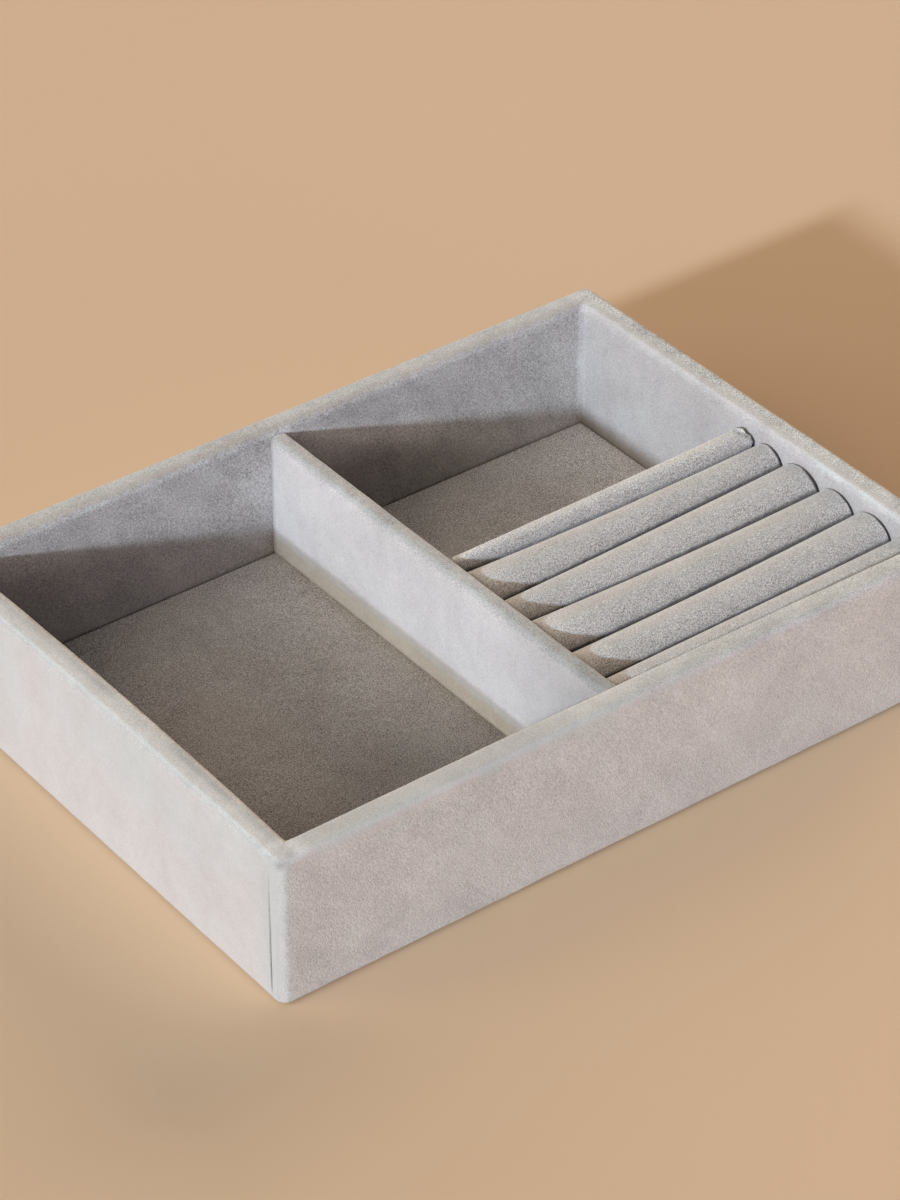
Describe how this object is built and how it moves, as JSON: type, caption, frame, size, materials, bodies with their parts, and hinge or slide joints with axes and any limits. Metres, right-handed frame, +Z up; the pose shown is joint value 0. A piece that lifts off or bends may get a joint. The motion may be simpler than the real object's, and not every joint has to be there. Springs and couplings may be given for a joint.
{
  "type": "jewelry tray",
  "caption": "Open rectangular velvet-covered jewelry tray with a fixed divider, two open bays and a pad of soft parallel rolls that hold rings.",
  "frame": {"origin": "centre of the underside, on the surface the tray stands on", "axes": "+X along the long front wall from left to right, towards the side with the ring rolls; +Y from the front wall to the back wall; +Z up"},
  "size_m": [0.25, 0.18, 0.0508],
  "materials": {
    "grey_velvet": "matte",
    "foam": "matte",
    "mdf": "matte",
    "greyboard": "matte",
    "base_felt": "matte"
  },
  "bodies": {
    "root": {"wall_velvet": "grey_velvet", "floor_velvet": "grey_velvet", "divider_velvet": "grey_velvet", "ring_velvet_1": "grey_velvet", "ring_velvet_2": "grey_velvet", "ring_velvet_3": "grey_velvet", "ring_velvet_4": "grey_velvet", "ring_velvet_5": "grey_velvet", "ring_velvet_6": "grey_velvet", "ring_foam_1": "foam", "ring_foam_2": "foam", "ring_foam_3": "foam", "ring_foam_4": "foam", "ring_foam_5": "foam", "ring_foam_6": "foam", "front_wall_board": "mdf", "back_wall_board": "mdf", "left_wall_board": "mdf", "right_wall_board": "mdf", "divider_board": "mdf", "base_board": "greyboard", "floor_card": "greyboard", "ring_card": "greyboard", "base_sheet": "base_felt"}
  },
  "joints": []
}
